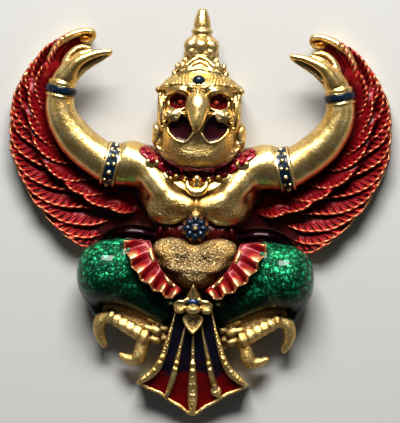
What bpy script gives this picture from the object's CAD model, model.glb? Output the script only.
"""Garuda figure: one gilt casting with enamel in its hollows, modelled as a distance field and skinned."""
import math
from itertools import product

import bpy
import numpy as np
from mathutils import Matrix, Vector


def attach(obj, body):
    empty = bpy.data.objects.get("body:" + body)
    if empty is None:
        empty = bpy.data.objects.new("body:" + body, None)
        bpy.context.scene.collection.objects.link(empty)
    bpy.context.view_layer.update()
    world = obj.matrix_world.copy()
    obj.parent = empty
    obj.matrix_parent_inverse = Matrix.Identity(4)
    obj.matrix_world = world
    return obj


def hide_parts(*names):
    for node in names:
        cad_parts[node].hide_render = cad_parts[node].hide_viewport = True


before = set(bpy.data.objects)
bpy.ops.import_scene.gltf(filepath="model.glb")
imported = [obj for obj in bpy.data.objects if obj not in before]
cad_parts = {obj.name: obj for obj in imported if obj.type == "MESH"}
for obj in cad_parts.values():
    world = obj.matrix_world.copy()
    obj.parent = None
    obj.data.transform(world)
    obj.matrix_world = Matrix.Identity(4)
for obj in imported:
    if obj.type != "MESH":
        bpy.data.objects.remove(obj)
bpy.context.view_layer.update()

# Sizes are in millimetres up to the mesh. FAR is what a field says where nothing is near, MARGIN is how far
# round each form its distance is worked out, and MOST_MOVE is how far a vertex shifts to reach the surface.
MM = 0.001
PITCH = 0.1
MOST_TRIANGLES = 192_000
FAR = 3.0
MARGIN = 0.45
MOST_MOVE = 0.05
HALF_LOW = np.array([0.0, -20.3, -0.4])
HALF_HIGH = np.array([19.4, 20.4, 10.0])


def recipe(red, green, blue, metal, gloss, hammered=0):
    """An enamel: linear colour, share of metal shining through, gloss, and share of hammered ground."""
    return np.array([red, green, blue, metal, gloss, hammered])


WING_RED = recipe(0.115, 0.001, 0.003, 0.2, 0.1)
BASE_RED = recipe(0.030, 0.001, 0.002, 0.1, 0.2)
CLOTH_RED = recipe(0.10, 0.001, 0.003, 0.2, 0.22)
CLOTH_GLINT = recipe(0.62, 0.30, 0.12, 0.9, 0.2)
COLLAR_RED = recipe(0.14, 0.0015, 0.009, 0.35, 0.6)
BELT_RED = recipe(0.035, 0.001, 0.001, 0.2, 0.2)
MOUTH_RED = recipe(0.026, 0.0005, 0.003, 0.1, 0.9)
EYE_RED = recipe(0.10, 0.0015, 0.002, 0.2, 0.5)
PUPIL = recipe(0.38, 0.035, 0.012, 0.3, 0.6)
AMBER = recipe(0.60, 0.22, 0.02, 0.8, 0.3)
LEG_GREEN = recipe(0.0, 0.014, 0.006, 0.5, 0.4, 1.0)
ROLL_DARK = recipe(0.003, 0.0005, 0.001, 1.0, 0.22)
BAND_BLUE = recipe(0.001, 0.006, 0.013, 0.2, 0.7)
STONE_BLUE = recipe(0.001, 0.012, 0.045, 0.3, 0.9)
APRON_BLUE = recipe(0.0003, 0.003, 0.009, 0.0, 0.3)
APRON_RED = recipe(0.12, 0.001, 0.001, 0.3, 0.4)
RIM_COPPER = recipe(0.45, 0.17, 0.06, 0.9, 0.1)
# The two metals have no recipe, only a name.
GOLD = "gold"
DULL_GOLD = "dull gold"


# Distance forms
def spline(stations, steps):
    """Points on a smooth line through the stations, with so many steps from each to the next."""
    p = np.asarray(stations, float)
    ends = np.vstack([2 * p[0] - p[1], p, 2 * p[-1] - p[-2]])
    out = []
    for a, b, c, d in zip(ends, ends[1:], ends[2:], ends[3:]):
        for t in np.arange(steps) / steps:
            square = (2 * a - 5 * b + 4 * c - d) * t ** 2
            cube = (3 * b - a - 3 * c + d) * t ** 3
            out.append(0.5 * (2 * b + (c - a) * t + square + cube))
    out.append(p[-1])
    return np.array(out)


def segment(a, b, flat=1.0):
    """A cone with round ends between two points of x, y, z and radius; flat squeezes it in z."""
    along = b[:3] - a[:3]
    square = max(float(along @ along), 1e-9)
    reach = max(a[3], b[3])

    def distance(x, y, z):
        px, py, pz = x - a[0], y - a[1], z - a[2]
        t = np.clip((px * along[0] + py * along[1] + pz * along[2]) / square, 0, 1)
        dx, dy, dz = px - t * along[0], py - t * along[1], (pz - t * along[2]) / flat
        return np.sqrt(dx * dx + dy * dy + dz * dz) - (a[3] + t * (b[3] - a[3]))

    return np.minimum(a[:3], b[:3]) - reach, np.maximum(a[:3], b[:3]) + reach, distance


def chain(path, flat=1.0):
    return [segment(a, b, flat) for a, b in zip(path, path[1:])]


def tube(stations, steps=4):
    return chain(spline(stations, steps))


def ball(x0, y0, z0, rx, ry=None, rz=None, turn=0.0):
    """A ball, or an egg with three radii, turned about z."""
    ry = rx if ry is None else ry
    rz = rx if rz is None else rz
    c, s = math.cos(turn), math.sin(turn)

    def distance(x, y, z):
        u, v, w = x - x0, y - y0, z - z0
        if turn:
            u, v = u * c + v * s, v * c - u * s
        near = np.sqrt((u / rx) ** 2 + (v / ry) ** 2 + (w / rz) ** 2)
        slope = np.sqrt((u / rx ** 2) ** 2 + (v / ry ** 2) ** 2 + (w / rz ** 2) ** 2)
        return near * (near - 1) / np.maximum(slope, 1e-6)

    wide = max(rx, ry)
    reach = np.array([wide, wide, rz] if turn else [rx, ry, rz])
    middle = np.array([x0, y0, z0])
    return [(middle - reach, middle + reach, distance)]


def within(value, low, low_fade, high, high_fade):
    """1 between low and high, falling to 0 over a fade at each end."""
    return np.clip((value - low) / low_fade, 0, 1) * np.clip((high - value) / high_fade, 0, 1)


def overlap(a, b, rounding):
    """Where two forms overlap, with the edge between them rounded."""
    outside = np.sqrt(np.maximum(a, 0) ** 2 + np.maximum(b, 0) ** 2)
    return np.minimum(np.maximum(a, b), 0) + outside - rounding


def polygon_distance(outline, x, y):
    """Signed distance to a closed outline, negative inside."""
    pts = np.asarray(outline, float)
    best = np.full(np.broadcast(x, y).shape, 1e9)
    inside = np.zeros(best.shape, bool)
    for (ax, ay), (bx, by) in zip(pts, np.roll(pts, -1, 0)):
        ex, ey = bx - ax, by - ay
        px, py = x - ax, y - ay
        t = np.clip((px * ex + py * ey) / max(ex * ex + ey * ey, 1e-12), 0, 1)
        best = np.minimum(best, (px - t * ex) ** 2 + (py - t * ey) ** 2)
        rise = by - ay if by != ay else 1e-9
        inside ^= ((ay > y) != (by > y)) & (x < (bx - ax) * (y - ay) / rise + ax)
    return np.where(inside, -1, 1) * np.sqrt(best)


def follow(line, marks, x, y):
    """Squared distance from a broken line, the side of it, and its marks read at the nearest place."""
    best = np.full(np.broadcast(x, y).shape, 1e9)
    side = np.ones(best.shape)
    run = np.zeros(best.shape)
    for (ax, ay), (bx, by), start, end in zip(line, line[1:], marks, marks[1:]):
        ex, ey = bx - ax, by - ay
        px, py = x - ax, y - ay
        t = np.clip((px * ex + py * ey) / (ex * ex + ey * ey), 0, 1)
        far = (px - t * ex) ** 2 + (py - t * ey) ** 2
        nearer = far < best
        best = np.where(nearer, far, best)
        side = np.where(nearer, np.sign(ex * py - ey * px), side)
        run = np.where(nearer, start + t * (end - start), run)
    return best, side, run


def prism(outline, bottom, top, rounding=0.0, top_at=None):
    """A slab over an outline; top_at gives a top that follows x and y."""
    pts = np.asarray(outline, float)

    def distance(x, y, z):
        flat = polygon_distance(pts, x, y) + rounding
        lid = (z - (top if top_at is None else top_at(x, y))) + rounding
        return overlap(flat, np.maximum(lid, bottom - z), rounding)

    low = np.array([*pts.min(0), bottom])
    high = np.array([*pts.max(0), top])
    return [(low, high, distance)]


def trunk(stations, power=2.5):
    """A body standing on the back plane, through stations of y, half width and front."""
    line = spline(stations, 6)
    line = line[np.argsort(line[:, 0])]
    ys, widths, fronts = line.T

    def distance(x, y, z):
        w = np.interp(y, ys, widths)
        f = np.interp(y, ys, fronts)
        reach = ((np.abs(x) / w) ** power + (np.maximum(z, 0) / f) ** power) ** (1 / power)
        side = (reach - 1) * np.minimum(w, f)
        return np.maximum(side, np.maximum(ys[0] - y, y - ys[-1]))

    low = np.array([-widths.max(), ys[0], 0])
    return [(low, np.array([widths.max(), ys[-1], fronts.max()]), distance)]


def ring(centre, along, radius, half_width, wire):
    """A band round a limb, square to the direction along: a rounded hoop, solid inside."""
    direction = np.asarray(along, float) / np.linalg.norm(along)

    def distance(x, y, z):
        px, py, pz = x - centre[0], y - centre[1], z - centre[2]
        t = px * direction[0] + py * direction[1] + pz * direction[2]
        out = np.sqrt(np.maximum(px * px + py * py + pz * pz - t * t, 0)) - (radius - wire)
        side = np.abs(t) - (half_width - wire)
        return overlap(out, side, wire)

    reach = radius + half_width
    middle = np.asarray(centre, float)
    return [(middle - reach, middle + reach, distance)]


class Form:
    """Parts joined hard to each other, then blended into what is there."""

    def __init__(self, parts, blend=0.05, paint=GOLD, cut=False, thin=None):
        self.parts, self.blend, self.paint, self.cut, self.thin = parts, blend, paint, cut, thin
        self.low = np.min([p[0] for p in parts], 0) - MARGIN - blend
        self.high = np.max([p[1] for p in parts], 0) + MARGIN + blend

    def at_points(self, p):
        out = np.full(len(p), FAR)
        reach = MARGIN + self.blend
        for low, high, distance in self.parts:
            near = np.all((p >= low - reach) & (p <= high + reach), axis=1)
            if near.any():
                q = p[near]
                out[near] = np.minimum(out[near], distance(q[:, 0], q[:, 1], q[:, 2]))
        return out


def smooth_min(a, b, k):
    """The lesser of two distances, blended over k where they are close."""
    if k <= 0:
        return np.minimum(a, b)
    lap = np.maximum(k - np.abs(a - b), 0)
    return np.minimum(a, b) - lap * lap / (4 * k)


class Field:
    """Distances on a grid over a box, negative inside the forms put into it."""

    def __init__(self, low, high, pitch):
        count = np.round((np.asarray(high) - low) / pitch).astype(int) + 1
        self.low, self.pitch = np.asarray(low, float), pitch
        self.axes = [low[i] + pitch * np.arange(count[i]) for i in range(3)]
        self.values = np.full(count, FAR, np.float32)

    def window(self, low, high):
        first = np.clip(np.floor((low - self.low) / self.pitch).astype(int), 0, self.values.shape)
        last = np.clip(np.ceil((high - self.low) / self.pitch).astype(int) + 1, 0, self.values.shape)
        return first, last

    def put(self, form):
        first, last = self.window(form.low, form.high)
        if np.any(last <= first):
            return
        block = np.full(last - first, FAR, np.float32)
        reach = MARGIN + form.blend
        for low, high, distance in form.parts:
            a, b = self.window(low - reach, high + reach)
            a, b = np.maximum(a, first), np.minimum(b, last)
            if np.any(b <= a):
                continue
            x = self.axes[0][a[0]:b[0], None, None]
            y = self.axes[1][None, a[1]:b[1], None]
            z = self.axes[2][None, None, a[2]:b[2]]
            s = tuple(slice(i, j) for i, j in zip(a - first, b - first))
            block[s] = np.minimum(block[s], distance(x, y, z))
        here = tuple(slice(i, j) for i, j in zip(first, last))
        if form.cut:
            self.values[here] = -smooth_min(-self.values[here], block, form.blend)
        else:
            self.values[here] = smooth_min(self.values[here], block, form.blend)

    def height(self, x, y):
        """The highest surface over a place, by linear reading down its column."""
        i = int(round((abs(x) - self.low[0]) / self.pitch))
        j = int(round((y - self.low[1]) / self.pitch))
        column = self.values[i, j]
        solid = np.nonzero(column < 0)[0]
        if not len(solid) or solid[-1] + 1 >= len(column):
            return 0.0
        k = solid[-1]
        return self.axes[2][k] + self.pitch * column[k] / (column[k] - column[k + 1])

    def sample(self, p):
        q = np.clip((p - self.low) / self.pitch, 0, np.array(self.values.shape) - 1.001)
        i = q.astype(int)
        f = q - i
        total = np.zeros(len(p))
        for corner in product((0, 1), repeat=3):
            o = np.array(corner)
            weight = np.prod(np.where(o, f, 1 - f), axis=1)
            total += weight * self.values[tuple((i + o).T)]
        return total


half = Field(HALF_LOW, HALF_HIGH, PITCH)
forms = []


def add(field, parts, blend=0.05, paint=GOLD, cut=False, thin=None):
    form = Form(parts, blend, paint, cut, thin)
    field.put(form)
    forms.append(form)
    return form


def lumps(field, rows, paint=GOLD):
    """Balls, each from a row of its blend and then what ball() takes."""
    for blend, *sizes in rows:
        add(field, ball(*sizes), blend, paint)


def join(field, other, blend):
    field.values = smooth_min(field.values, other.values, blend)


def cord(line, heights, radius):
    """A rounded cord along a line; radius is one value, or several spread over its length."""
    given = np.atleast_1d(radius)
    radii = np.interp(np.linspace(0, 1, len(line)), np.linspace(0, 1, len(given)), given)
    return chain([np.array([x, y, h, r]) for (x, y), h, r in zip(line, heights, radii)])


def laid(points, radius, lift=0.0, steps=3):
    """A cord that lies on the surface under its points."""
    line = spline(points, steps)
    heights = np.array([half.height(x, y) for x, y in line])
    if len(heights) > 4:
        heights = np.convolve(np.pad(heights, 2, mode="edge"), np.ones(5) / 5, "valid")
    return cord(line, heights + lift, radius)


def laid_cords(rows):
    """Cords, each from a row of its blend and then what laid() takes."""
    for blend, *sizes in rows:
        add(half, laid(*sizes), blend)


def on_top(points, radius, top_at, lift=0.0):
    """A cord that lies on a surface given by a function."""
    line = spline(points, 3)
    return cord(line, [float(top_at(x, y)) + lift for x, y in line], radius)


def bead(x, y, r, lift=0.0, ry=None, rz=None):
    return ball(x, y, half.height(x, y) + lift, r, ry, rz)


# Wings
BARB_LEAN = 1.0
ENAMEL_DEPTH = 0.34
OUTER_CREST = 2.15
INNER_CREST = 2.85
BASE_TOP = 1.25
# The rims of the right wing's feathers, from the root up to the tip: x and y of points along each rim.
OUTER_RIMS = [
    [(9.6, -3.6), (10.6, -3.75), (11.5, -3.66), (12.6, -3)],
    [(9.6, -2.5), (10.6, -2.85), (11.8, -2.85), (12.9, -2.5), (13.9, -1.95)],
    [(8.9, -1.1), (10.3, -1.6), (11.8, -1.6), (13.3, -1.35), (14.7, -0.6), (16.1, 0.35)],
    [(10.2, 0.1), (11.4, 0.1), (12.9, 0.1), (14.4, 0.35), (15.6, 0.9), (16.6, 1.6), (17.3, 2.5), (17.7, 3.1)],
    [(12, 1.7), (13.3, 1.8), (14.6, 2), (15.9, 2.45), (16.9, 3), (17.8, 3.9), (18.35, 4.8), (18.7, 5.7)],
    [(13.6, 3.6), (14.9, 3.9), (16, 4.3), (17.1, 4.9), (17.9, 5.5), (18.5, 6.3), (18.8, 7.4)],
    [(15, 5.3), (16, 5.8), (17, 6.5), (17.8, 7.1), (18.4, 7.9), (18.8, 9.2)],
    [(16.2, 7.1), (17, 7.6), (17.6, 8.1), (18.2, 8.9), (18.6, 10), (18.5, 11.2)],
    [(16.8, 8.7), (17.4, 9.4), (17.8, 10.2), (18, 11.2), (18, 12.1), (17.6, 13.1)],
    [(16.5, 10), (17, 11), (17.4, 12), (17.4, 13), (17, 14.1)],
    [(16.5, 11.2), (16.8, 12.2), (16.8, 13.4), (16.4, 14.6), (15.9, 15.5), (15.15, 16.18)],
    [(15.55, 12.9), (15.5, 13.7), (15.2, 14.7), (14.7, 15.7), (14.2, 16.5), (13.86, 17.12)],
    [(15.1, 14.2), (14.6, 15.6), (13.9, 16.6), (13, 17.3), (12.1, 17.65), (11.3, 17.75), (10.85, 17.5)],
]
INNER_RIMS = [
    [(6.4, -0.2), (7.4, -0.35), (8.3, -0.1)],
    [(7.2, 0.6), (8.4, 0.2), (9.5, 0.25), (10.5, 0.55), (11.1, 1)],
    [(9, 1.6), (10.5, 1.3), (11.6, 1.45), (12.4, 1.75), (12.9, 2.2)],
    [(10.6, 3), (11.4, 2.8), (12.4, 2.65), (13.5, 2.85), (14.4, 3.35), (15.1, 4.1)],
    [(12.6, 4.5), (13.4, 4.4), (14.5, 4.7), (15.4, 5.25), (16, 5.9), (16.35, 6.5)],
    [(14.2, 5.8), (15.1, 6.3), (15.9, 7), (16.5, 7.7), (16.95, 8.6)],
    [(15.4, 7.4), (16, 8.2), (16.5, 9.2), (16.9, 10.2), (17, 11.2)],
    [(15.6, 9.3), (15.9, 10.2), (16.3, 11.2), (16.4, 12.3), (16.1, 13.3), (15.75, 13.95)],
]


class Feather:
    """A blade that falls from its rim towards the next feather, with slanting barbs in its enamel."""

    def __init__(self, rim, crest, reach, rim_radius, pitch, barb, notch,
                 fall=0.22, root_drop=0.6, limit=None):
        self.line = spline(rim, 5)
        steps = np.linalg.norm(np.diff(self.line, axis=0), axis=1)
        self.run = np.concatenate([[0], np.cumsum(steps)])
        self.crest, self.reach, self.rim_radius, self.pitch = crest, reach, rim_radius, pitch
        self.barb, self.notch, self.fall, self.root_drop, self.limit = barb, notch, fall, root_drop, limit

    def relief(self, x, y):
        square, side, run = follow(self.line, self.run, x, y)
        d = np.sqrt(square) * side
        share = run / self.run[-1]
        crest = self.crest - self.root_drop * (1 - share) ** 2
        inward = np.maximum(d, 0)
        level = crest - ENAMEL_DEPTH - self.fall * inward - 0.5 * np.maximum(inward - 1.1, 0)
        phase = (run + BARB_LEAN * inward) / self.pitch
        index = np.floor(phase + 0.5)
        vary = 0.85 + 0.3 * (0.5 + 0.5 * np.sin(index * 12.99 + self.crest * 40))
        finger = np.clip(1 - (np.abs(phase - index) / 0.48) ** 1.6, 0, 1)
        fade = np.clip(1 - (inward / (self.barb * vary)) ** 1.4, 0, 1)
        barb = (ENAMEL_DEPTH + 0.05 + self.fall * inward) * fade * finger * np.clip(run / 0.7, 0, 1)
        return d, share, crest, level, barb, finger, fade

    def distance(self, x, y, z):
        d, share, crest, level, barb, finger, fade = self.relief(x, y)
        thickness = self.rim_radius * (0.5 + 0.5 * np.clip(share * 4, 0, 1))
        radius = thickness * (1 - 0.25 * self.notch + 0.25 * self.notch * finger)
        sunk = 0.16 * self.notch * (1 - finger)
        rim = np.sqrt((d - 0.7 * radius) ** 2 + (z - crest + 0.05 + sunk) ** 2) - radius
        blade = np.maximum((z - level - barb) * 0.85, np.maximum(-d, d - self.reach))
        if self.limit is not None:
            blade = np.maximum(blade, polygon_distance(self.limit, x, y))
        return smooth_min(blade, rim, 0.05)

    def thin(self, p):
        """Where the enamel is thin over the metal: 1 on the rim, less on the barbs, 0 in the hollows."""
        d, share, crest, level, barb, finger, fade = self.relief(p[:, 0], p[:, 1])
        on_rim = np.clip(1.25 - np.abs(d - 0.7 * self.rim_radius) / (self.rim_radius * 1.2), 0, 1)
        on_rim = on_rim * np.clip((p[:, 2] - crest + 0.3) / 0.15, 0, 1)
        on_rim = on_rim * (1 - self.notch * 0.8 * (1 - finger))
        on_barb = 0.8 * fade ** 1.8 * np.clip((finger - 0.2) / 0.8, 0, 1)
        return np.maximum(on_rim * (0.6 + 0.15 * share + 0.25 * self.notch), on_barb)

    def part(self):
        low = np.array([*(self.line.min(0) - self.reach), 0.0])
        high = np.array([*(self.line.max(0) + self.reach), self.crest + self.rim_radius])
        return [(low, high, self.distance)]


# Stations of x, y, z and radius, from the shoulder to the hand.
ARM = [
    (4.9, 4.3, 3, 2.2), (6.6, 4.5, 3, 2.08), (8.4, 4.45, 3, 1.98), (9.8, 5.05, 3, 1.88),
    (12, 6.75, 3.1, 1.8), (13.5, 8.95, 3.3, 1.55), (13.85, 11, 3.4, 1.35), (13.65, 12.5, 3.55, 1.08),
    (13.1, 13.7, 3.75, 0.85),
]


def wing_outline():
    """The outer edge of the wing: each feather's end runs on to just under the tip of the next one."""
    tips = [np.array(rim[-1]) for rim in OUTER_RIMS]
    edge = [tips[0]]
    for here, there in zip(tips, tips[1:]):
        along = there - here
        out = np.array([along[1], -along[0]]) / np.linalg.norm(along)
        edge += [here + 0.5 * along + 0.08 * out, here + 0.84 * along - 0.22 * out, there]
    return edge


edge = wing_outline()
arm_line = [(x, y) for x, y, _, _ in ARM[::-1]]
outline = np.array(edge + arm_line + [(3.0, 4.2), (3.0, -3.2), (8.8, -3.9)])
add(half, prism(outline, -1, BASE_TOP, 0.1), 0, BASE_RED)
feathers = []
for order, rim in enumerate(OUTER_RIMS):
    height = order / (len(OUTER_RIMS) - 1)
    feathers.append(Feather(
        rim, OUTER_CREST, reach=2.6 - 0.9 * height, rim_radius=0.14 + 0.03 * height,
        pitch=0.84 - 0.2 * height, barb=1.1 - 0.45 * height, notch=0.35 + 0.6 * height, limit=outline))
rope, top = feathers[-2:]
vars(rope).update(crest=2.6, rim_radius=0.28, pitch=0.62, reach=0.9, barb=0.5, notch=0.9)
vars(top).update(crest=2.3, rim_radius=0.2, pitch=0.72, reach=1.35, barb=0.9, notch=0.4)
for order, rim in enumerate(INNER_RIMS):
    height = order / (len(INNER_RIMS) - 1)
    feathers.append(Feather(
        rim, INNER_CREST, reach=1.7, rim_radius=0.15, pitch=0.66 - 0.06 * height,
        barb=0.8 - 0.25 * height, notch=0.4 + 0.5 * height, fall=0.3, root_drop=0.9))
for feather in feathers:
    add(half, feather.part(), 0.02, WING_RED, thin=feather.thin)
# A copper line along the outer ends of the feathers.
for k in range(len(OUTER_RIMS) - 3):
    span = edge[3 * k:3 * k + 3]
    ends = [(x * 0.993, y, OUTER_CREST - 0.12 - 0.1 * n, 0.08) for n, (x, y) in enumerate(span)]
    add(half, tube(ends, 2), 0.03, RIM_COPPER)
# The tip of the wing: a hollow, a gold band that curls in, and an amber bowl inside the curl.
add(half, ball(13.95, 17.45, 2.3, 0.5, 0.5, 1.2), 0.05, WING_RED, cut=True)
TOP_BAND = [
    (15.1, 14.9, 2.3, 0.2), (14.35, 16.05, 2.35, 0.3), (13.4, 16.85, 2.35, 0.38), (12.5, 17.3, 2.35, 0.36),
    (11.65, 17.55, 2.3, 0.32), (10.95, 17.5, 2.2, 0.33), (10.72, 17.1, 2.05, 0.24), (10.95, 16.7, 1.95, 0.22),
    (11.3, 16.45, 1.9, 0.18), (11.9, 16.5, 1.85, 0.12),
]
BOWL = [(12.2, 17.3), (11.1, 17.4), (10.9, 16.9), (11.3, 16.5), (12.1, 16.5)]
add(half, tube(TOP_BAND), 0.04)
add(half, prism(BOWL, 0, 2, 0.1), 0.1, AMBER)
add(half, tube([(12.3, 17, 2, 0.12), (11.7, 16.95, 2.05, 0.2), (11.3, 16.9, 2, 0.14)], 2), 0.08, AMBER)

# Body
body = Field(HALF_LOW, HALF_HIGH, PITCH)
# Stations of y, half width and front.
TORSO = [
    (6.6, 4.2, 3), (5.9, 6.1, 3.7), (4, 6.35, 4.2), (2.6, 6.3, 4.6), (1.2, 5.8, 4.9), (0.2, 5.3, 5.05),
    (-0.4, 4.95, 5.05), (-0.9, 4.7, 5), (-1.25, 4.4, 4.6), (-2.3, 4.2, 4.6), (-3.6, 4.3, 4.6),
    (-5.6, 3.6, 4.6), (-7.4, 1.9, 4.4),
]
HEAD = [
    (4.15, 1.7, 5.3), (4.5, 2.45, 6.1), (4.9, 3.05, 6.6), (5.4, 3.45, 6.9), (6.2, 3.8, 7.05),
    (7.6, 3.95, 7.1), (9.8, 3.9, 7), (12, 3.95, 6.8),
]
HEAD_POWER = 3.4
# Stations of x, y, z and radius.
SHOULDER = [(6.6, 4.9, 3.3, 1.95), (5.3, 4.4, 4, 1.6), (4.2, 3.2, 4.7, 1.25), (3.4, 2.1, 5, 1.1)]
BREAST = [(4.3, 2.9, 4.6, 1.15), (3.3, 1.9, 5, 1.1), (2.1, 1.15, 5.25, 1), (0.9, 0.75, 5.2, 0.85)]
CHEST_FOLD = [
    (0, -0.05, 5.05, 0.16), (0.9, -0.35, 5.1, 0.2), (2, -0.95, 5.05, 0.22), (3.3, -1.05, 4.7, 0.18),
    (4.3, -0.7, 4.2, 0.1),
]
BELLY_FOLD = [
    (3.2, -4.9, 4.6, 0.55), (1.8, -5.5, 5.3, 0.6), (0.5, -5.65, 5.45, 0.5), (-0.5, -5.65, 5.45, 0.5),
]
BELLY_LUMPS = [
    (-2.3, -3.7, 5.75, 0.5), (-0.9, -4.1, 5.8, 0.45), (1.3, -3.9, 5.85, 0.55), (2.6, -4.6, 5.5, 0.4),
    (-1.8, -4.9, 5.6, 0.4), (0.7, -6.3, 5.45, 0.4),
]
CHIN_RIM = [(3.95, 6.2), (3.4, 5.3), (2.6, 4.72), (1.5, 4.4), (0, 4.28)]
HAND_EDGE = [
    (12.5, 12.6, 3.9, 0.14), (11.7, 13.35, 3.9, 0.13), (10.8, 14.05, 3.95, 0.12), (9.9, 14.6, 4.05, 0.11),
    (9.2, 15.05, 4.2, 0.1),
]
FINGERS = [
    [(13.3, 13.3, 3.4, 0.8), (13.2, 14.6, 3.4, 0.46), (12.6, 15.5, 3.4, 0.36), (11.8, 15.9, 3.4, 0.32),
     (11.05, 15.8, 3.3, 0.27)],
    [(13, 13.5, 4, 0.7), (12.5, 14.6, 4.1, 0.42), (11.8, 15.2, 4.1, 0.34), (10.9, 15.55, 3.95, 0.26)],
    [(13.1, 13.1, 4, 0.95), (12.6, 13.95, 4.35, 0.7), (11.7, 14.7, 4.6, 0.5), (10.6, 15.2, 4.6, 0.38),
     (9.7, 15.45, 4.5, 0.32), (8.95, 15.55, 4.4, 0.26)],
    [(13, 12.6, 3.5, 0.8), (12.2, 13.35, 3.5, 0.55), (11.2, 14.15, 3.6, 0.42), (10.2, 14.75, 3.75, 0.36),
     (9.4, 15.15, 4, 0.3), (8.95, 15.4, 4.2, 0.22)],
]
add(body, trunk(TORSO, 3), 0)
add(body, tube(ARM, 5), 0.5)
add(body, tube(SHOULDER), 0.5)
add(body, tube(BREAST), 0.45)
lumps(body, [
    (0.9, 2.6, 0.5, 4.2, 2.3, 1.6, 1.3, -0.15), (0.5, 0, 0.3, 4.6, 1.6, 1.5, 0.8),
    (0.3, 0, 2.3, 4.7, 0.8, 1.4, 0.6),
])
add(body, tube(CHEST_FOLD), 0.12)
lumps(body, [(0.3, 0, -4.8, 3, 4.35, 2.6, 2.8), (0.35, 2.05, -4.05, 4.6, 2.2, 1.4, 1.35, 0.3)], DULL_GOLD)
add(body, tube(BELLY_FOLD), 0.35, DULL_GOLD)
add(body, ball(0, -6.35, 4.2, 2.2, 1.15, 1.45), 0.4, DULL_GOLD)
for x, y, z, size in BELLY_LUMPS:
    add(body, ball(x, y, z, size * 1.3, size * 0.8, size * 0.5, 0.4 * x), 0.3, DULL_GOLD)
add(body, trunk(spline(HEAD, 3), HEAD_POWER), 0.12)
add(body, prism(CHIN_RIM + [(-x, y) for x, y in CHIN_RIM[-2::-1]], 2.5, 5.45, 0.25), 0.75)
add(body, tube([(x, y + 0.1, 5.3, 0.16) for x, y in CHIN_RIM]), 0.12)
add(body, tube(HAND_EDGE), 0.06)
for finger in FINGERS:
    add(body, tube(finger))
join(half, body, 0.06)

# Legs
legs = Field(HALF_LOW, HALF_HIGH, PITCH)
add(legs, ball(8.75, -6.1, 3.3, 2.85, 3, 3), 0, LEG_GREEN)
add(legs, tube([(3.4, -5.9, 2.8, 2), (6.2, -5.1, 3.1, 2.3), (8.9, -5.6, 3.4, 2.55)]), 0.5, LEG_GREEN)
add(legs, tube([(9.2, -6.9, 2.9, 2.35), (6.2, -7.5, 2.7, 2.1), (3, -9.4, 2.7, 1.65)]), 0.5, LEG_GREEN)
add(legs, tube([(9.9, -7.6, 2.6, 1.5), (9.75, -9, 2.3, 0.95), (9.45, -10.2, 2.1, 0.5)]), 0.4, LEG_GREEN)
join(half, legs, 0.06)
THIGH_ROLL = [(4.4, -2.6, 2.4, 0.95), (6.4, -2.3, 2.7, 0.92), (8.4, -2.65, 2.4, 0.75), (9.4, -3.2, 2, 0.4)]
add(half, tube(THIGH_ROLL), 0.15, ROLL_DARK)

# Feet
feet = Field(HALF_LOW, HALF_HIGH, PITCH)
SOLE = [
    (8.6, -8.5), (7.6, -8.75), (6.8, -8.85), (6, -9.2), (5.3, -9.35), (4.5, -9.9), (3.7, -10.15),
    (2.9, -10.8), (2.7, -12.6), (3.6, -13.1), (5, -12.4), (6.7, -11.5), (8.6, -10.6), (9.3, -9.6),
]
INNER_CLAW = [
    (4.2, -11.9, 2.2, 0.8), (4.95, -12.9, 2.4, 0.7), (5.25, -13.95, 2.3, 0.7), (5.65, -14.6, 2.1, 0.66),
    (6.45, -14.6, 1.9, 0.5), (7.15, -14.3, 1.7, 0.32),
]
OUTER_CLAW = [
    (8.4, -10.35, 2.6, 0.66), (9.15, -10.8, 2.5, 0.68), (9.4, -11.8, 2.2, 0.6), (9.15, -12.7, 1.9, 0.48),
    (8.85, -13.3, 1.7, 0.34),
]
TOE_START = np.array([4.75, -12.45, 2.75])
TOE_END = np.array([8.3, -10.45, 2.8])
TOE_RINGS = 6
KNUCKLES = [
    (5, -13.3, 2.7, 0.3), (5.5, -13.7, 2.5, 0.25), (5, -14.2, 2.45, 0.28), (5.9, -14.5, 2.35, 0.26),
    (4.6, -12.9, 2.8, 0.3), (9.2, -11.3, 2.75, 0.24), (9.6, -12, 2.4, 0.2), (2.9, -11.5, 2.5, 0.6),
    (3.5, -10.9, 2.75, 0.5), (3, -12.4, 2.2, 0.6), (2.75, -13.1, 1.6, 0.5), (4.15, -10.75, 2.85, 0.42),
    (3.75, -11.7, 3, 0.62), (3.75, -12.6, 2.6, 0.6), (4.5, -11.5, 3, 0.45),
]
add(feet, prism(SOLE, 0.6, 2.75, 0.3), 0, DULL_GOLD)
for here, there in zip(SOLE[:7], SOLE[1:8]):
    middle = [(a + b) / 2 for a, b in zip(here, there)]
    add(feet, tube([(*here, 2.7, 0.14), (*middle, 2.78, 0.22), (*there, 2.7, 0.14)], 2), 0.06)
add(feet, tube(INNER_CLAW), 0.15)
add(feet, tube(OUTER_CLAW), 0.15)
add(feet, tube([(9.7, -11.3, 2.4, 0.12), (9.75, -12, 2.1, 0.14), (9.45, -12.8, 1.8, 0.12)], 3))
toe_way = TOE_END - TOE_START
toe_middle = TOE_START + toe_way * 0.5 + [0, 0, 0.12]
add(feet, tube([(*TOE_START, 0.66), (*toe_middle, 0.66), (*TOE_END, 0.56)]), 0.1)
for k in range(TOE_RINGS):
    at_ring = TOE_START + toe_way * (k + 0.1) / (TOE_RINGS - 0.8)
    lean = (toe_way[0], toe_way[1] * 0.75, 0)
    add(feet, ring(at_ring + np.array([0, 0.05, 0.1]), lean, 0.8 - 0.02 * k, 0.3, 0.24), 0.12)
for x, y, z, r in KNUCKLES:
    add(feet, ball(x, y, z, r * 1.15, r * 0.8, r, 0.5), 0.08)
join(half, feet, 0.06)

# Head
CROWN_FOOT = 11.2
CROWN_TOP = 20.0
CROWN_Z = 3.6
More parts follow.
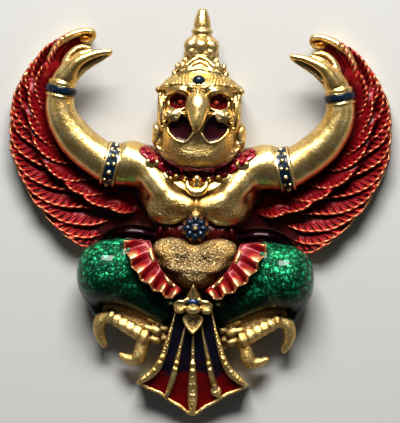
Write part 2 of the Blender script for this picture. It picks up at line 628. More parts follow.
# The crown's outline: y and radius, from its foot to its tip.
CROWN = [
    (CROWN_FOOT, 3.55), (11.7, 3.8), (12.1, 3.95), (12.5, 3.75), (13, 3.15), (13.4, 2.65), (13.7, 2.3),
    (14.2, 2.05), (14.6, 1.85), (14.9, 1.72), (15.2, 1.68), (15.5, 1.66), (15.75, 1.72), (16, 1.8),
    (16.4, 1.88), (16.8, 1.75), (17.15, 1.35), (17.4, 0.98), (17.55, 0.98), (17.7, 1.08), (17.9, 1.06),
    (18.05, 0.9), (18.15, 0.76), (18.28, 0.86), (18.8, 0.8), (19.4, 0.64), (19.85, 0.47), (CROWN_TOP, 0.36),
]
crown_ys, crown_radii = spline(CROWN, 3).T


def crown_distance(x, y, z):
    """The turned crown, with rows on its band, petals on its neck and lobes on its bulb."""
    w = z - CROWN_Z
    angle = np.arctan2(x, w)
    rows = np.abs(np.sin(math.pi * (y + 0.035 * x * x + 0.1 * np.sin(9 * angle)) / 0.45))
    petals = np.abs(np.sin(5 * angle)) ** 0.6
    lobe = np.abs(np.cos(3 * angle)) ** 0.5
    in_band = within(y, 11.75, 0.15, 13.35, 0.1)
    in_neck = within(y, 15.2, 0.1, 15.75, 0.1)
    in_bulb = within(y, 15.75, 0.25, 17.4, 0.4)
    radius = np.interp(y, crown_ys, crown_radii)
    radius = radius - 0.5 * in_bulb * (1 - lobe) + 0.14 * in_band * rows + in_neck * 0.2 * (petals - 0.5)
    side = (np.sqrt(x * x + w * w) - radius) * 0.8
    return np.maximum(side, np.maximum(CROWN_FOOT - y, y - CROWN_TOP))


BEAK = [
    (0, 11.25, 7.1, 0.75), (0, 10.8, 7.6, 1.15), (0, 10.3, 7.85, 1.2), (0, 9.8, 8.05, 1.05),
    (0, 9.3, 8.3, 0.88), (0, 8.8, 8.55, 0.66), (0, 8.35, 8.75, 0.42), (0, 8, 8.85, 0.22),
]
MOUTH = [
    (2.9, 8.36), (2.5, 8.75), (1.95, 8.85), (1.57, 9.5), (1.1, 9.15), (0.66, 8.44), (0.5, 7.9), (0.9, 7.25),
    (1.25, 6.93), (2.1, 7.2), (2.75, 7.85),
]
EYE = [
    (1.65, 10.82, 7, 0.5, 0.62, 0.75), (2.05, 10.85, 6.75, 0.62, 0.74, 0.76),
    (2.45, 10.78, 6.4, 0.42, 0.55, 0.7),
]
CHEEK_CURLS = [
    (2.9, 9.75, 0.22), (3.2, 9.35, 0.24), (2.2, 9.2, 0.18), (2.7, 9.25, 0.16), (3.3, 8.8, 0.22),
    (3.45, 8.3, 0.2),
]
add(half, [(np.array([0, CROWN_FOOT, -1]), np.array([4.2, CROWN_TOP, 8]), crown_distance)], 0.1)
lumps(half, [
    (0.04, 2.25, 14.1, 4.3, 0.3, 0.62, 0.4, -0.12), (0.04, 1.72, 14.15, 5.1, 0.4, 0.66, 0.4, -0.1),
    (0.04, 2.5, 13.55, 4.6, 0.32, 0.4, 0.4, -0.5), (0.04, 1.62, 14.85, 4.3, 0.25, 0.42, 0.4, 0.2),
    (0.04, 1.15, 14.55, 5.2, 0.3, 0.4, 0.4, 0.5),
    (0.3, 2.35, 9.5, 5.9, 1.15, 0.7, 1.15, -0.35), (0.15, 3.1, 9.05, 5.9, 0.42, 0.36, 0.5),
    (0.12, 1.75, 9.75, 6.75, 0.3, 0.24, 0.3), (0.12, 2.45, 9.55, 6.8, 0.42, 0.22, 0.3, -0.5),
])
for x, y, r in CHEEK_CURLS:
    add(half, ball(x, y, 6.75 - 0.25 * (x - 2), r * 1.2, r, 0.4), 0.08)
# Cords over and under the eye, then below and above the mouth.
laid_cords([
    (0.05, [(3.1, 10.9), (3, 11.45), (2.45, 11.85), (1.7, 11.95), (1.1, 11.65), (0.8, 11.2)],
     [0.14, 0.25, 0.26, 0.25, 0.16], 0.08, 4),
    (0.05, [(3.3, 11.4), (2.8, 12.05), (1.9, 12.25), (1, 12.05)], [0.1, 0.14, 0.1], 0, 4),
    (0.06, [(3, 10.7), (2.75, 10.2), (2.1, 9.98), (1.4, 10.1), (1, 10.5)], [0.1, 0.14, 0.1]),
    (0.06, [(3, 8.45), (2.87, 7.85), (2.15, 7.1), (1.27, 6.82), (0.75, 7.2), (0.38, 7.72), (0, 7.9)],
     [0.12, 0.15, 0.16, 0.18, 0.16], 0.02),
    (0.06, [(3, 8.45), (2.55, 8.92), (2, 9.02), (1.57, 9.66), (1.05, 9.3)], 0.12, 0.02),
])
add(half, [part for sizes in EYE for part in ball(*sizes)], 0.04, EYE_RED, cut=True)
add(half, ball(1.7, 10.78, 6.2, 0.36), 0.1, PUPIL)
add(half, prism(MOUTH, 6.2, 9.5, 0.15), 0.08, MOUTH_RED, cut=True)
add(half, tube(BEAK, 5), 0.1)
# Nostril and temple, then the ear with its lobe, and the side of the head behind it.
lumps(half, [
    (0.06, 1, 9.72, 7.75, 0.26, 0.24, 0.3), (0.04, 3.3, 11.1, 6.1, 0.22),
    (0.2, 4.05, 7.65, 3.5, 0.6, 1.3, 1.15, -0.05), (0.35, 3.7, 6.35, 3.6, 0.55, 0.85, 1.2, -0.35),
    (0.08, 4.2, 6.95, 4.1, 0.4, 0.5, 0.45), (0.08, 4.25, 8.1, 4.2, 0.3, 0.5, 0.4),
    (0.25, 3.65, 9.9, 4.2, 0.5, 2.1, 1.5),
])
for x, z in ((3.98, 4.8), (3.85, 5.35)):
    add(half, tube([(x, 11.6, z, 0.1), (x + 0.02, 10.4, z + 0.1, 0.13), (x + 0.06, 9.1, z, 0.1)], 3))
add(half, ball(4.03, 11.92, 4.4, 0.37))
add(half, bead(0, 12.87, 0.62, -0.1), 0.02, BAND_BLUE)
# Cords round the foot of the crown and up to its bulb, then short ones that stand on its band.
laid_cords([
    (0.05, [(0, 12.15), (0, 11.7)], [0.26, 0.16], 0.05),
    (0.04, [(3.95, 12), (3.05, 12.42), (2.07, 12.52), (1.08, 12.4), (0.6, 12.2)], 0.15, 0.02),
    (0.04, [(4, 12.3), (3.25, 12.85), (2.4, 13.35), (1.15, 13.8), (0, 14.1)],
     [0.12, 0.16, 0.18, 0.18, 0.2], 0.02),
    (0.04, [(2.2, 13.95), (1.35, 14.35), (0.65, 14.95), (0, 15.25)], [0.12, 0.2, 0.22, 0.2], 0.06),
    (0.04, [(2, 13.75), (1.1, 14.1), (0.45, 14.6), (0, 14.8)], [0.1, 0.16, 0.16, 0.16], 0.1),
])
for k in range(9):
    t = (k + 0.5) / 9
    low_end = (0.75 + 2.95 * t, 12.62 - 0.28 * t ** 2)
    high_end = (0.95 + 2.4 * t, 13.45 - 0.6 * t ** 2)
    add(half, laid([low_end, high_end], [0.13, 0.09], 0.05, 2), 0.03)

# Collar, belt and flower
COLLAR = [
    (5.2, 6.5), (4.3, 5.95), (3.4, 5.1), (1.65, 4.4), (0, 4.25), (-0.5, 4.2), (-0.5, 2.95), (0, 2.95),
    (1.1, 3.05), (2.6, 3.5), (3.5, 4.05), (4.6, 4.85), (5.75, 5.75),
]
COLLAR_LIFT = 0.4
COLLAR_BEADS = [
    (3.5, 4.6), (2.1, 4.05), (1.45, 3.7), (4.9, 5.75), (4, 5.2), (2.75, 4.35), (1.5, 4.2), (0.6, 3.75),
    (5.4, 6.1),
]
CRESCENT = [(0.95, 3, 0.16), (0.9, 2.5, 0.34), (0.52, 2.08, 0.42), (0, 1.95, 0.46)]
BELT = [(-1, 4.35, 4.7), (-1.6, 4.4, 4.9), (-2.2, 4.4, 4.95), (-2.9, 4.3, 4.7)]


def skin_band(outline, lift):
    """A thin layer that follows the surface of the body under an outline."""
    xs, ys, zs = half.axes
    pts = np.asarray(outline)
    i0, j0 = [max(int((pts[:, n].min() - 0.6 - half.low[n]) / PITCH), 0) for n in (0, 1)]
    i1, j1 = [int((pts[:, n].max() + 0.6 - half.low[n]) / PITCH) + 1 for n in (0, 1)]
    xs, ys, block = xs[i0:i1], ys[j0:j1], half.values[i0:i1, j0:j1]
    solid = block < 0
    top = solid.shape[2] - 1 - np.argmax(solid[:, :, ::-1], axis=2)
    heights = np.where(solid.any(2), zs[top], 0.0)
    lower = np.take_along_axis(block, top[:, :, None], 2)[:, :, 0]
    upper = np.take_along_axis(block, np.minimum(top + 1, block.shape[2] - 1)[:, :, None], 2)[:, :, 0]
    heights = heights + np.where(solid.any(2), PITCH * lower / np.minimum(lower - upper, -1e-6), 0)

    def top_at(x, y):
        u = np.clip((np.abs(x) - xs[0]) / PITCH, 0, len(xs) - 1.001)
        v = np.clip((y - ys[0]) / PITCH, 0, len(ys) - 1.001)
        u, v = np.broadcast_arrays(u, v)
        i, j = u.astype(int), v.astype(int)
        f, g = u - i, v - j
        return lift + (heights[i, j] * (1 - f) * (1 - g) + heights[i + 1, j] * f * (1 - g)
                       + heights[i, j + 1] * (1 - f) * g + heights[i + 1, j + 1] * f * g)

    return prism(outline, 0.5, float(heights.max()) + lift + 0.3, 0.06, top_at)


add(half, skin_band(COLLAR, COLLAR_LIFT), 0.03, COLLAR_RED)
for x, y, size, count in [(4.4, 4.9, 0.42, 4), (2.6, 3.68, 0.6, 5)]:
    for k in range(count):
        angle = math.radians(200 + 150 * k / (count - 1))
        add(half, bead(x + size * math.cos(angle), y + 0.8 * size * math.sin(angle), 0.29, 0.04))
    add(half, bead(x, y + 0.12, 0.34, 0.1), 0.04, COLLAR_RED)
for x, y in COLLAR_BEADS:
    add(half, bead(x, y, 0.27, 0.04), 0.05, COLLAR_RED)
add(half, bead(1.12, 3.3, 0.26, 0.05, 0.36, 0.3), 0.04)
pendant_z = half.height(0, 2.2)
add(half, tube([(x, y, pendant_z + 0.2, r) for x, y, r in CRESCENT], 3))
add(half, bead(0, 3.3, 0.42, 0.05), 0.04)
add(half, ball(0, 2.75, pendant_z + 0.15, 0.42, 0.36, 0.35))
add(half, trunk(BELT, 3), 0.04, BELT_RED)
for k in range(3):
    add(half, ball(1.7 + 0.9 * k, -1.85, 4.74 - 0.15 * k, 0.2, 0.4, 0.25), 0.2, BELT_RED)


def petals(z0, reach, size, height, turn=0.0):
    """Eight petals round the middle of the belt's flower."""
    out = []
    for k in range(8):
        a = turn + 2 * math.pi * k / 8
        out += ball(reach * math.sin(a), -1.6 + reach * math.cos(a), z0, size, size * 1.15, height, -a)
    return out


add(half, petals(5.5, 0.78, 0.4, 0.5), 0.05, BAND_BLUE)
add(half, ball(0, -1.6, 5.6, 0.62, 0.62, 0.45), 0.05, BAND_BLUE)
add(half, petals(5.15, 1.1, 0.24, 0.4, math.pi / 8), 0.05, RIM_COPPER)
add(half, ball(0, -1.6, 6.02, 0.26), 0.03, DULL_GOLD)
add(half, ball(0, -0.3, 5.55, 0.42, 0.35, 0.35), 0.06)

# Loin cloth
HEM_TIPS = [(6.92, -2.95), (6.25, -4.7), (5.45, -6.05), (4.3, -7.13), (3.1, -7.85), (2, -8.4)]
CLOTH_INNER = [
    (1.2, -7.7), (1.9, -7.05), (2.9, -6.15), (3.6, -5.2), (4.05, -4.1), (4.5, -3), (5.3, -2.9), (6, -2.85),
]
SCALLOP = 0.34


def cloth_top(x, y):
    return np.interp(-y, [2.8, 4.6, 6.3, 8.2], [5.5, 6.15, 6.4, 6.35]) - 0.1 * np.maximum(x - 4.5, 0)


def scalloped(tips):
    """A hem of points with hollows between them."""
    edge = [tips[0]]
    for (ax, ay), (bx, by) in zip(tips, tips[1:]):
        dx, dy = bx - ax, by - ay
        size = math.hypot(dx, dy)
        edge += [(ax + 0.45 * dx - SCALLOP * dy / size, ay + 0.45 * dy + SCALLOP * dx / size), (bx, by)]
    return edge


def pleat(x, y, shift=0.0):
    """How high a place stands on the pleats, 1 on a fold and 0 between two, and how near it is to the hem."""
    square, _, run = follow(HEM_TIPS, range(len(HEM_TIPS)), x, y)
    gap = np.sqrt(square)
    fold = np.abs(np.cos(math.pi * (run + shift)))
    return fold ** 1.5, np.clip(1.15 - gap / 1.9, 0, 1)


def pleated(x, y):
    fold, near_hem = pleat(x, y)
    return cloth_top(x, y) - 0.6 + 0.62 * fold * near_hem


def cloth_thin(p):
    fold, near_hem = pleat(p[:, 0], p[:, 1], 0.1)
    return np.clip(1.5 * fold ** 1.5 * np.clip(near_hem * 1.6 - 0.75, 0, 1), 0, 1)


hem = scalloped(HEM_TIPS)
add(half, prism(hem + CLOTH_INNER, 1, 6.6, 0.1, pleated), 0.04, CLOTH_RED, thin=cloth_thin)
add(half, on_top(hem, 0.1, pleated, -0.02), 0.06, CLOTH_GLINT)
add(half, on_top([(4.45, -3.7), (4.25, -4.3), (4, -4.9)], [0.08, 0.2, 0.08], pleated, 0.05), 0.06)
add(half, on_top([(2.9, -6.3), (2.4, -6.9), (1.9, -7.3)], [0.06, 0.18, 0.1], pleated, 0.05), 0.06)
add(half, on_top(CLOTH_INNER[:6], 0.09, pleated), 0.08, CLOTH_RED)


# Apron
def apron_top(x, y):
    return np.interp(-y, [8.5, 12, 15, 17.5, 20], [4.3, 4.0, 3.1, 2.1, 1.3]) + 0 * x


# Ribs and beads: x, y and radius.
SIDE_RIB = [
    (1.72, -9.6, 0.13), (2, -10.8, 0.15), (2.35, -12.2, 0.2), (2.72, -13.5, 0.28), (3.1, -14.6, 0.34),
    (3.7, -15.6, 0.4), (4.5, -16.3, 0.4), (5.25, -16.85, 0.24),
]
INNER_RIB = [
    (0.8, -11.2, 0.1), (1.05, -12.4, 0.14), (1.32, -13.6, 0.2), (1.6, -14.8, 0.25), (1.82, -15.9, 0.3),
    (2.15, -17, 0.28), (2.5, -18, 0.22),
]
MIDDLE_RIB = [
    (0, -12.2, 0.11), (0, -13.6, 0.17), (0, -14.9, 0.24), (0, -15.9, 0.36), (0, -17.3, 0.46),
    (0, -18.6, 0.46), (0, -19.6, 0.3),
]
RIB_BEADS = [
    (0, -14.9, 0.31), (0, -15.6, 0.34), (1.57, -14.85, 0.29), (1.72, -15.45, 0.3), (3, -14.3, 0.32),
    (3.25, -14.85, 0.3),
]
APRON_HEM = [
    (5.4, -16.9), (4.2, -17.5), (3.3, -17.85), (2.65, -18.3), (2, -18.75), (1.3, -19.1), (0.6, -19.65),
    (0, -19.95),
]
APRON = [(-0.5, -8.6), (1.75, -8.6)] + [(x, y) for x, y, _ in SIDE_RIB] + APRON_HEM + [(-0.5, -19.9)]
BLUE_ENDS_Y = -15.9


def blue_share(p):
    """1 above and 0 below, parted just under the ribs' beads."""
    return 0.5 + 0.5 * np.clip((p[:, 1] - BLUE_ENDS_Y - 0.3 * np.sin(2.2 * p[:, 0])) / 0.1, -1, 1)


apron = add(half, prism(APRON, -1, 4.4, 0.1, apron_top), 0.05, APRON_BLUE)
ribs = [spline(rib, 4) for rib in (SIDE_RIB, INNER_RIB, MIDDLE_RIB)]
for rib, flat in zip(ribs, (0.8, 1, 0.8)):
    add(half, chain([np.array([x, y, float(apron_top(x, y)) + 0.12, r]) for x, y, r in rib], flat))
for x, y, r in RIB_BEADS:
    add(half, ball(x, y, float(apron_top(x, y)) + 0.32, r, 0.85 * r, r), 0.03)
for rib in ribs:
    for k, (x, y, r) in enumerate(rib[4:-1]):
        side = 0.35 * r * math.sin(2.4 * k)
        add(half, ball(x + side, y, float(apron_top(x, y)) + 0.1 + 0.75 * r, 0.45 * r, 0.13, 0.16), 0.04)
add(half, on_top(APRON_HEM, 0.16, apron_top), 0.04)

# The clasp: two square lobes beside a boss, a blue stone under a pyramid leaf, and a heart-shaped drop below.
LOBE = [(0.75, -8.75), (1.5, -8.72), (1.9, -8.95), (1.85, -9.6), (1.5, -9.98), (0.95, -9.9), (0.6, -9.4)]
LEAF = [(0, -7), (0.3, -7.6), (0.62, -8.1), (0.9, -8.55), (-0.2, -8.6)]
HEART = [(0, -10.2), (0.4, -9.98), (0.82, -10.25), (0.78, -10.8), (0.4, -11.4), (0, -11.85)]
HEART_Z = 5.12


def leaf_top(x, y):
    return 6.95 - 0.75 * np.abs(x) - 0.45 * np.maximum(-7.4 - y, 0)


add(half, prism(LOBE, 3.5, 6.15, 0.35), 0.08)
add(half, tube([(0.7, -8.85, 6.1, 0.14), (1.4, -8.75, 6.15, 0.16), (1.85, -9.05, 6, 0.12)], 3))
lumps(half, [(0.06, 0, -9.45, 5.95, 0.78, 0.55, 0.6), (0.05, 0, -9.12, 6.35, 0.3, 0.2, 0.22)])
add(half, prism(LEAF, 3.5, 7.2, 0.1, leaf_top))
add(half, ball(0, -8.78, 6.25, 0.62, 0.3, 0.32), 0.04, STONE_BLUE)
add(half, tube([(0.62, -8.5, 6.15, 0.14), (1, -8.8, 6.1, 0.16), (1.3, -9, 6, 0.1)], 3))
add(half, prism([(-0.2, -10.1)] + HEART + [(-0.2, -11.7)], 3.5, 5.1, 0.1), 0.05, DULL_GOLD)
add(half, on_top(HEART, [0.14, 0.16, 0.16, 0.16, 0.16], lambda x, y: HEART_Z))
add(half, tube([(0, -10.4, 5.15, 0.06), (0, -10.75, 5.2, 0.16), (0, -11.3, 5.1, 0.06)]))

# Armlet and bracelet
ARMLET_AT = np.array([8.5, 4.48, 3.0])
ARMLET_AXIS = np.array([1.0, 0.24, 0.0])
ARMLET_RADIUS = 2.2
WRIST_AT = np.array([13.72, 11.7, 3.4])
WRIST_AXIS = np.array([-0.19, 1.0, 0.05])
add(half, ring(ARMLET_AT, ARMLET_AXIS, ARMLET_RADIUS, 0.6, 0.1), 0.02, BAND_BLUE)
for side in (-1, 1):
    add(half, ring(ARMLET_AT + ARMLET_AXIS * side * 0.62, ARMLET_AXIS, ARMLET_RADIUS + 0.04, 0.11, 0.1), 0.03)
for k in range(7):
    angle = math.radians(-66 + 22 * k)
    turned = 0.23 * ARMLET_RADIUS * math.sin(angle)
    for side in (-1, 1):
        along = 0.28 * side * (k % 2) - turned
        stud = ARMLET_AT + [along, ARMLET_RADIUS * math.sin(angle), ARMLET_RADIUS * math.cos(angle)]
        add(half, ball(*stud, 0.2 - 0.05 * (k % 2)), 0.03)
for side, wide, over, wire in ((-0.62, 0.14, 1.5, 0.12), (0.62, 0.3, 1.42, 0.26)):
    add(half, ring(WRIST_AT + WRIST_AXIS * side, WRIST_AXIS, over, wide, wire), 0.03)
add(half, ring(WRIST_AT, WRIST_AXIS, 1.58, 0.36, 0.16), 0.02, BAND_BLUE)

# Whole figure
whole = Field((-HALF_HIGH[0], HALF_LOW[1], HALF_LOW[2]), HALF_HIGH, PITCH)
whole.values = np.concatenate([half.values[:0:-1], half.values])
whole.axes[0] = np.concatenate([-half.axes[0][:0:-1], half.axes[0]])
whole.low[0] = -half.axes[0][-1]
mirrored_count = len(forms)
del half, body, legs, feet
add(whole, ball(2.3, -17.55, 2.2, 0.52, 0.52, 0.35), 0.04)
whole.values = np.maximum(whole.values, -whole.axes[2][None, None, :].astype(np.float32))


def skin(field):
    """Surface nets: one vertex in each cell that the surface crosses, one quad for each crossed edge."""
    v = field.values
    inside = v < 0
    shape = np.array(v.shape) - 1
    count = np.zeros(shape, np.int8)
    for i, j, k in product((0, 1), repeat=3):
        count += inside[i:i + shape[0], j:j + shape[1], k:k + shape[2]]
    cells = np.argwhere((count > 0) & (count < 8))
    number = np.full(shape, -1, np.int32)
    number[tuple(cells.T)] = np.arange(len(cells))
    corners = {}
    for corner in product((0, 1), repeat=3):
        corners[corner] = v[tuple((cells + corner).T)].astype(float)
    total = np.zeros((len(cells), 3))
    hits = np.zeros(len(cells))
    for axis, a, b in product(range(3), (0, 1), (0, 1)):
        start = [a, b]
        start.insert(axis, 0)
        end = list(start)
        end[axis] = 1
        p, q = corners[tuple(start)], corners[tuple(end)]
        crossed = (p < 0) != (q < 0)
        place = np.tile(np.array(start, float), (len(cells), 1))
        place[:, axis] = np.where(crossed, p / np.where(crossed, p - q, 1), 0)
        total += place * crossed[:, None]
        hits += crossed
    points = (cells + total / hits[:, None]) * field.pitch + field.low
    quads = []
    for axis in range(3):
        first = [slice(1, -1)] * 3
        second = [slice(1, -1)] * 3
        first[axis] = slice(0, -1)
        second[axis] = slice(1, None)
        a, b = inside[tuple(first)], inside[tuple(second)]
        edge = np.argwhere(a != b)
        flip = a[tuple(edge.T)]
        edge = edge + [n != axis for n in range(3)]
        u, w = [n for n in range(3) if n != axis]
        around = []
        for du, dw in ((0, 0), (1, 0), (1, 1), (0, 1)):
            cell = edge.copy()
            cell[:, u] -= du
            cell[:, w] -= dw
            around.append(number[tuple(cell.T)])
        quad = np.stack(around, 1)
        turn = flip if axis != 1 else ~flip
        quad[~turn] = quad[~turn][:, ::-1]
        quads.append(quad)
    return points, np.concatenate(quads)


points, quads = skin(whole)
tris = np.concatenate([quads[:, [0, 1, 2]], quads[:, [0, 2, 3]]])
skin_mesh = bpy.data.meshes.new("garuda_casting")
skin_mesh.from_pydata(points, [], tris)
casting = bpy.data.objects.new("garuda_casting", skin_mesh)
bpy.context.scene.collection.objects.link(casting)
if len(tris) > MOST_TRIANGLES:
    shrink = casting.modifiers.new("fewer", "DECIMATE")
    shrink.ratio = MOST_TRIANGLES / len(tris)
    shrink.use_collapse_triangulate = True
    bpy.context.view_layer.update()
    fewer = bpy.data.meshes.new_from_object(casting.evaluated_get(bpy.context.evaluated_depsgraph_get()))
    casting.modifiers.clear()
    casting.data = fewer
mesh = casting.data
at = np.empty(len(mesh.vertices) * 3, np.float32)
mesh.vertices.foreach_get("co", at)
at = at.reshape(-1, 3).astype(float)


def gradient(p, step):
    out = np.empty_like(p)
    for axis, offset in enumerate(np.eye(3) * step):
        out[:, axis] = whole.sample(p + offset) - whole.sample(p - offset)
    return out / (2 * step)


# The vertices are moved on to the exact surface, twice, and their normals are the slope of the field.
for _ in range(2):
    slope = gradient(at, PITCH * 0.5)
    square = np.maximum((slope ** 2).sum(1), 0.25)
    move = np.clip(whole.sample(at) / square, -MOST_MOVE, MOST_MOVE)
    at -= slope * move[:, None] * 0.8
slope = gradient(at, PITCH * 0.7)
normals = slope / np.maximum(np.linalg.norm(slope, axis=1), 1e-6)[:, None]

# Paint
# Each vertex is measured to the nearest bright gold, dull gold and enamel, and takes that enamel's values.
SPILL = 0.05
CHEST_DULLNESS = 0.66
CHIN_DULLNESS = 0.55
LOW_DULLNESS = 0.5
folded = at.copy()
folded[:, 0] = np.abs(folded[:, 0])
bright_near, dull_near, enamel_near = np.full((3, len(at)), FAR)
finish = np.tile(BASE_RED, (len(at), 1))
thin = np.zeros(len(at))
for number, form in enumerate(forms):
    p = folded if number < mirrored_count else at
    d = form.at_points(p)
    if form.paint is GOLD:
        bright_near = np.minimum(bright_near, d)
        continue
    if form.paint is DULL_GOLD:
        dull_near = np.minimum(dull_near, d)
        continue
    if form.cut:
        bright_near = np.maximum(bright_near, 2 * SPILL - d)
        d = np.abs(d)
    nearer = d < enamel_near
    enamel_near[nearer] = d[nearer]
    finish[nearer] = form.paint
    thin[nearer] = form.thin(p[nearer]) if form.thin else 0
    if form is apron:
        share = blue_share(p[nearer])[:, None]
        finish[nearer] = APRON_RED * (1 - share) + APRON_BLUE * share
edge = np.clip(enamel_near - np.minimum(bright_near, dull_near), -0.5, 0.5)

# Metal left unpolished: the dull forms, the chest above the belt, the chin, and all gold below the thighs.
x, y, z = folded[:, 0], at[:, 1], at[:, 2]
dull = np.clip(0.5 + (bright_near - dull_near) / 0.25, 0, 1)
lower_chest = within(y, -0.7, 0.3, 1.9, 1.4) * (x < 5.6) * (z > 2.5)
chin = np.clip((6.9 - y) / 1.4, 0, 1) * (y > 4.3) * (x < 3.6) * (z > 5.3)
low_gold = np.clip((-9.0 - y) / 0.6, 0, 1)
for region, dullness in ((lower_chest, CHEST_DULLNESS), (chin, CHIN_DULLNESS), (low_gold, LOW_DULLNESS)):
    dull = np.maximum(dull, dullness * region)


def crowding(reach):
    """How much other metal stands near a point of the surface: 0 in the open, 1 deep in a crevice."""
    return 1 - np.clip(whole.sample(at + normals * reach) / reach, 0, 1)


cavity = np.clip(0.5 * crowding(0.3) + 0.6 * crowding(0.8), 0, 1)
hammered = finish[:, 5] * np.clip((y + 9) / 3, 0.06, 1)

# The outer walls, and all that faces down, are plain gold.
beside = at * [1, 1, 0] + [0, 0, 0.3] + normals * [0.5, 0.5, 0]
wall = (np.abs(normals[:, 2]) < 0.35) & (whole.sample(beside) > 0.1) & (z < 1.75)
plain = wall | (normals[:, 2] < -0.3)
edge[plain] = np.maximum(edge[plain], 0.3)

mesh.vertices.foreach_set("co", (at * MM).astype(np.float32).ravel())
mesh.update()
mesh.shade_smooth()
mesh.normals_split_custom_set_from_vertices(normals)
LAYERS = {
    "gold_edge": edge, "thinness": thin, "dull": dull, "cavity": cavity,
    "gloss": finish[:, 4], "scaly": hammered,
}
for name, values in LAYERS.items():
    layer = mesh.attributes.new(name, "FLOAT", "POINT")
    layer.data.foreach_set("value", values.astype(np.float32))
layer = mesh.attributes.new("enamel", "FLOAT_COLOR", "POINT")
layer.data.foreach_set("color", finish[:, :4].astype(np.float32).ravel())

# Finish
DEEP_GOLD = (0.70, 0.46, 0.14, 1)
BRIGHT_GOLD = (0.88, 0.67, 0.29, 1)
GREY_BROWN = (0.085, 0.06, 0.042, 1)
OCHRE = (0.30, 0.175, 0.055, 1)
GLITTER = (0.90, 0.68, 0.32, 1)
GRAIN_BROWN = (0.20, 0.105, 0.025, 1)
CREVICE_BROWN = (0.16, 0.075, 0.018, 1)
CREVICE_RED = (0.008, 0.0005, 0.0005, 1)
THIN_RED = (0.22, 0.005, 0.005, 1)
COPPER = (0.32, 0.085, 0.04, 1)
PALE_COPPER = (0.52, 0.28, 0.13, 1)
DARK_GREEN = (0.0, 0.006, 0.003, 1)
LUMP_GREEN = (0.0, 0.095, 0.038, 1)
BRIGHT_GREEN = (0.02, 0.42, 0.16, 1)
LUMP_SCALE = 1750
WOBBLE = (0.0007, 0.0007, 0.0007)
BUMP_DEPTH = 0.00012
material = bpy.data.materials.new("gilt_and_enamel")
material.use_nodes = True
tree = material.node_tree
tree.nodes.clear()


def node(kind, inputs=None, **settings):
    """A node with its settings; each input is a value or the socket that feeds it."""
    made = tree.nodes.new(kind)
    for key, value in settings.items():
        setattr(made, key, value)
    for key, value in (inputs or {}).items():
        if isinstance(value, bpy.types.NodeSocket):
            tree.links.new(value, made.inputs[key])
        else:
            made.inputs[key].default_value = value
    return made


def math_node(operation, a, b, clamp=False):
    return node("ShaderNodeMath", {0: a, 1: b}, operation=operation, use_clamp=clamp).outputs[0]


def plus(a, b):
    return math_node("ADD", a, b)


def times(a, b):
    return math_node("MULTIPLY", a, b)


def mix_colour(factor, a, b):
    return node("ShaderNodeMix", {0: factor, 6: a, 7: b}, data_type="RGBA").outputs[2]


def ramp(value, low, high):
    return node("ShaderNodeMapRange", {0: value, 1: low, 2: high}, interpolation_type="SMOOTHSTEP").outputs[0]


def noise(scale, detail=2.0, roughness=0.5, output="Fac"):
    inputs = {"Scale": scale, "Detail": detail, "Roughness": roughness, "Vector": coordinates}
    return node("ShaderNodeTexNoise", inputs).outputs[output]


def painted(name):
    return node("ShaderNodeAttribute", attribute_name=name).outputs["Fac"]


def roughened(value, amount):
    """A value that the fine pits push up and down."""
    return plus(value, times(math_node("SUBTRACT", pits, 0.5), amount))


coordinates = node("ShaderNodeTexCoord").outputs["Object"]
grain = noise(6500, 3, 0.6)
mottle = noise(900, 3, 0.55)
pits = noise(2600)
enamel = node("ShaderNodeAttribute", attribute_name="enamel").outputs
cavity, dull, scaly = painted("cavity"), painted("dull"), painted("scaly")
is_gold = ramp(roughened(painted("gold_edge"), 0.08), -0.015, 0.02)
thinness = roughened(painted("thinness"), 0.4)

# Gold: bright to deep by patches, brown in grain and crevices, grey-brown where it was left unpolished.
gold = mix_colour(ramp(mottle, 0.35, 0.7), DEEP_GOLD, BRIGHT_GOLD)
unpolished = mix_colour(ramp(noise(420, 3, 0.6), 0.42, 0.6), GREY_BROWN, OCHRE)
unpolished = mix_colour(ramp(grain, 0.52, 0.66), unpolished, GLITTER)
gold = mix_colour(times(ramp(dull, 0.5, 0.85), 0.95), gold, unpolished)
speckle = plus(0.4, times(dull, 0.5))
gold = mix_colour(times(ramp(grain, 0.52, 0.38), speckle), gold, GRAIN_BROWN)
gold = mix_colour(times(ramp(cavity, 0.15, 0.85), 0.85), gold, CREVICE_BROWN)
gold_rough = plus(plus(0.24, times(grain, 0.1)), times(dull, 0.12))

# Enamel: deep in the hollows, thin over barbs and rims, so that the metal under it shows copper.
colour = mix_colour(times(ramp(cavity, 0.1, 0.9), 0.8), enamel["Color"], CREVICE_RED)
for low, high, tint in ((0.1, 0.5, THIN_RED), (0.4, 0.75, COPPER), (0.65, 1.0, PALE_COPPER)):
    colour = mix_colour(ramp(thinness, low, high), colour, tint)
enamel_rough = plus(plus(0.26, times(mottle, 0.14)), times(ramp(thinness, 0.3, 0.9), 0.12))

# Green enamel over hammered metal: bright lumps, some brighter, between dark green lines.
wobble = node("ShaderNodeVectorMath", {0: noise(2200, output="Color"), 1: WOBBLE, 2: coordinates},
              operation="MULTIPLY_ADD")
lumpy = {"Scale": LUMP_SCALE, "Vector": wobble.outputs[0]}
walls = node("ShaderNodeTexVoronoi", lumpy, feature="DISTANCE_TO_EDGE").outputs["Distance"]
lump = times(ramp(walls, -0.05, 0.4), scaly)
cells = node("ShaderNodeTexVoronoi", lumpy, feature="F1")
chance = node("ShaderNodeSeparateColor", {0: cells.outputs["Color"]}).outputs[0]
lively = plus(times(chance, 0.5), times(noise(1100), 0.9))
green = mix_colour(lump, DARK_GREEN, LUMP_GREEN)
green = mix_colour(times(lump, ramp(lively, 0.55, 0.95)), green, BRIGHT_GREEN)
green = mix_colour(times(ramp(cavity, 0.1, 0.8), 0.9), green, DARK_GREEN)
colour = mix_colour(ramp(scaly, 0.0, 0.08), colour, green)

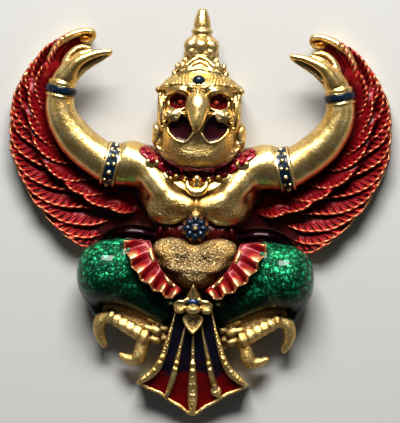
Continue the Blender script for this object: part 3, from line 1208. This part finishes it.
# Relief too fine for the mesh: sand on the dull gold, lumps under the green, and a slow waviness.
sand = plus(times(grain, 1.3), times(pits, 0.4))
sand = times(sand, plus(0.19, times(times(is_gold, dull), 1.1)))
relief = plus(plus(sand, times(lump, 0.8)), times(mottle, 0.6))
bump = node("ShaderNodeBump", {"Strength": 0.9, "Distance": BUMP_DEPTH, "Height": relief})
metal = math_node("MAXIMUM", enamel["Alpha"], ramp(thinness, 0.35, 0.8))
rough = node("ShaderNodeMix", {0: is_gold, 2: enamel_rough, 3: gold_rough}, data_type="FLOAT")
bsdf = node("ShaderNodeBsdfPrincipled", {
    "Base Color": mix_colour(is_gold, colour, gold),
    "Metallic": math_node("MAXIMUM", metal, is_gold),
    "Roughness": rough.outputs[0],
    "Coat Weight": times(math_node("SUBTRACT", 1.0, is_gold, True), painted("gloss")),
    "Coat Roughness": 0.07,
    "Coat IOR": 1.3,
    "Specular IOR Level": 0.1,
    "Normal": bump.outputs[0],
})
node("ShaderNodeOutputMaterial", {"Surface": bsdf.outputs[0]})
mesh.materials.clear()
mesh.materials.append(material)
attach(casting, "root")
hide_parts("garuda_figure")


# Stage, light and camera
def plain_material(name, tint, rough):
    made = bpy.data.materials.new(name)
    made.use_nodes = True
    shader = made.node_tree.nodes["Principled BSDF"]
    shader.inputs["Base Color"].default_value = (*tint, 1)
    shader.inputs["Roughness"].default_value = rough
    return made


FLOOR_HALF = 0.6
FLOOR_Z = -0.00003
FLOOR_TINT = (0.26, 0.26, 0.257)
floor_mesh = bpy.data.meshes.new("floor")
corners = [(x * FLOOR_HALF, y * FLOOR_HALF, FLOOR_Z) for x, y in ((-1, -1), (1, -1), (1, 1), (-1, 1))]
floor_mesh.from_pydata(corners, [], [(0, 1, 2, 3)])
floor = bpy.data.objects.new("floor", floor_mesh)
floor_mesh.materials.append(plain_material("pale_floor", FLOOR_TINT, 0.7))
bpy.context.scene.collection.objects.link(floor)


def lamp(name, place, target, size, power, tint=(1, 1, 1)):
    data = bpy.data.lights.new(name, "AREA")
    data.shape = "RECTANGLE"
    data.size, data.size_y = size
    data.energy = power
    data.color = tint
    made = bpy.data.objects.new(name, data)
    bpy.context.scene.collection.objects.link(made)
    made.location = place
    made.rotation_euler = (Vector(target) - Vector(place)).to_track_quat("-Z", "Y").to_euler()


lamp("key", place=(0, 0.19, 0.175), target=(0, 0.004, 0.003), size=(0.16, 0.085), power=2.5,
     tint=(1, 0.98, 0.94))
for name, side in (("fill_left", -1), ("fill_right", 1)):
    lamp(name, place=(0.3 * side, 0.02, 0.2), target=(0, 0, 0), size=(0.12, 0.2), power=0.06)
world = bpy.data.worlds.new("studio")
world.use_nodes = True
background = world.node_tree.nodes["Background"].inputs
background["Color"].default_value = (0.9, 0.93, 1.0, 1)
background["Strength"].default_value = 0.07
bpy.context.scene.world = world

# The photo is 423 pixels tall, and the figure stands 406 of them high.
FRAME_HEIGHT = 423 * 40 / 406 * MM
# The camera stands a little to the right of the middle and is rolled, as in the photo.
CAMERA_DISTANCE = 0.75
SIDE_LEAN = 0.052
ROLL = math.radians(1.63)
centre = Vector((0.19, 0.095, 1.5)) * MM
back = Vector((SIDE_LEAN, 0, 1)).normalized()
up = Vector((-math.sin(ROLL), math.cos(ROLL), 0))
up = (up - back * up.dot(back)).normalized()
turned = Matrix((up.cross(back), up, back)).transposed().to_4x4()
camera_data = bpy.data.cameras.new("camera")
camera_data.lens = camera_data.sensor_width * CAMERA_DISTANCE / FRAME_HEIGHT
camera_data.clip_start = 0.01
camera_data.clip_end = 10
camera = bpy.data.objects.new("camera", camera_data)
camera.matrix_world = Matrix.Translation(centre + back * CAMERA_DISTANCE) @ turned
bpy.context.scene.collection.objects.link(camera)
bpy.context.scene.camera = camera
bpy.context.scene.view_settings.view_transform = "Standard"
